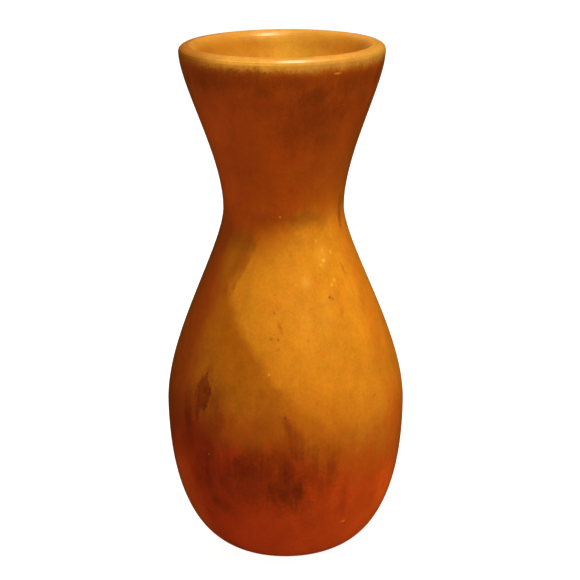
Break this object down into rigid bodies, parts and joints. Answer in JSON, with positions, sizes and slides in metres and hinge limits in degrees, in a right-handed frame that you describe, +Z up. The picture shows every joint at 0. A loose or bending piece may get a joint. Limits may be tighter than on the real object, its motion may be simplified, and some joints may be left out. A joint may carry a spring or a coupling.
{
  "type": "wooden vase",
  "caption": "Turned wooden vase with a pear-shaped belly, narrow waist, flared neck and rolled lip, hollow, with a plugged foot, felt pad and lift-out glass liner.",
  "frame": {"origin": "centre of the felt pad's underside, on the surface that the vase stands on", "axes": "+Z up along the turning axis, X and Y level; the form is the same all round, and -Y faces the picture's camera"},
  "size_m": [0.141, 0.141, 0.3],
  "materials": {
    "neck_wood": "russet stain under satin wax",
    "belly_wood": "amber stain, darker towards the foot, under satin wax",
    "plug_wood": "bare turned end grain, unstained",
    "felt": "dense wool felt",
    "liner_glass": "clear polished glass"
  },
  "bodies": {
    "vase": {"neck": "neck_wood", "belly": "belly_wood", "base_plug": "plug_wood", "felt_pad": "felt"},
    "liner": {"glass_liner": "liner_glass"}
  },
  "joints": [
    {"name": "liner_lift", "type": "slide", "parent": "vase", "child": "liner", "axis": [0, 0, 1], "range_m": [0, 0.28]}
  ]
}
